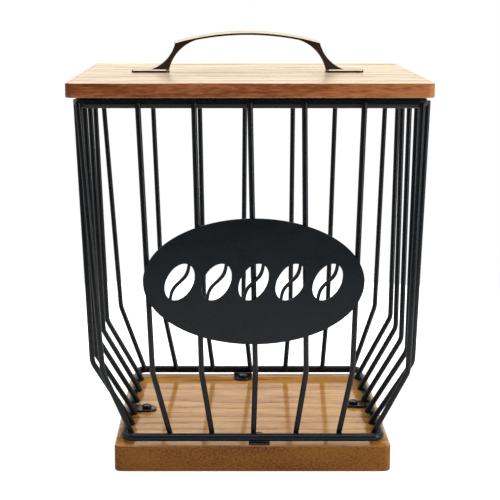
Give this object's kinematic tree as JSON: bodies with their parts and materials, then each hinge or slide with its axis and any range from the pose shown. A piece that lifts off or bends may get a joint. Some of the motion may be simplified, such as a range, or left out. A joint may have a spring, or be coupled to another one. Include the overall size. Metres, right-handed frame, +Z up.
{
  "type": "storage basket with lid",
  "caption": "Black wire basket that narrows to a wooden base board, with an oval front plate and a lift-off wooden lid with an arched metal pull.",
  "frame": {"origin": "below the middle of the lid, on the surface that the basket stands on; the base board's middle is 2.7 mm to the right of it and 1.5 mm behind it", "axes": "+Z up, the front with the oval plate faces -Y, the width runs along X"},
  "size_m": [0.215, 0.203, 0.2693],
  "materials": {
    "lid_wood": "clear gloss lacquer on reddish-brown stained wood",
    "base_wood": "clear gloss lacquer on orange-brown stained wood",
    "black_coat": "satin black powder coat on steel",
    "antique_nickel": "brushed antique nickel plating",
    "black_screw": "black coat on steel screws, worn bright at the rim of the recess",
    "zinc_plate": "bright zinc plating"
  },
  "bodies": {
    "basket": {"base_board": "base_wood", "ring_upper": "black_coat", "ring_lower": "black_coat", "oval_plate": "black_coat", "tab_front": "black_coat", "tab_right": "black_coat", "tab_back": "black_coat", "tab_left": "black_coat", "tab_screw_front": "black_screw", "tab_screw_right": "black_screw", "tab_screw_back": "black_screw", "tab_screw_left": "black_screw", "wire_front_1": "black_coat", "wire_front_2": "black_coat", "wire_front_3": "black_coat", "wire_front_4": "black_coat", "wire_front_5": "black_coat", "wire_front_6": "black_coat", "wire_front_7": "black_coat", "wire_back_1": "black_coat", "wire_back_2": "black_coat", "wire_back_3": "black_coat", "wire_back_4": "black_coat", "wire_back_5": "black_coat", "wire_back_6": "black_coat", "wire_back_7": "black_coat", "wire_left_1": "black_coat", "wire_left_2": "black_coat", "wire_left_3": "black_coat", "wire_left_4": "black_coat", "wire_left_5": "black_coat", "wire_right_1": "black_coat", "wire_right_2": "black_coat", "wire_right_3": "black_coat", "wire_right_4": "black_coat", "wire_right_5": "black_coat"},
    "lid": {"lid_board": "lid_wood", "lid_cleat_left": "lid_wood", "lid_cleat_right": "lid_wood", "handle": "antique_nickel", "handle_screw_left": "zinc_plate", "handle_screw_right": "zinc_plate", "cleat_screw_left_1": "zinc_plate", "cleat_screw_left_2": "zinc_plate", "cleat_screw_right_1": "zinc_plate", "cleat_screw_right_2": "zinc_plate"}
  },
  "joints": [
    {"name": "lid_lift", "type": "slide", "parent": "basket", "child": "lid", "axis": [0, 0, 1], "range_m": [0, 0.12]}
  ]
}
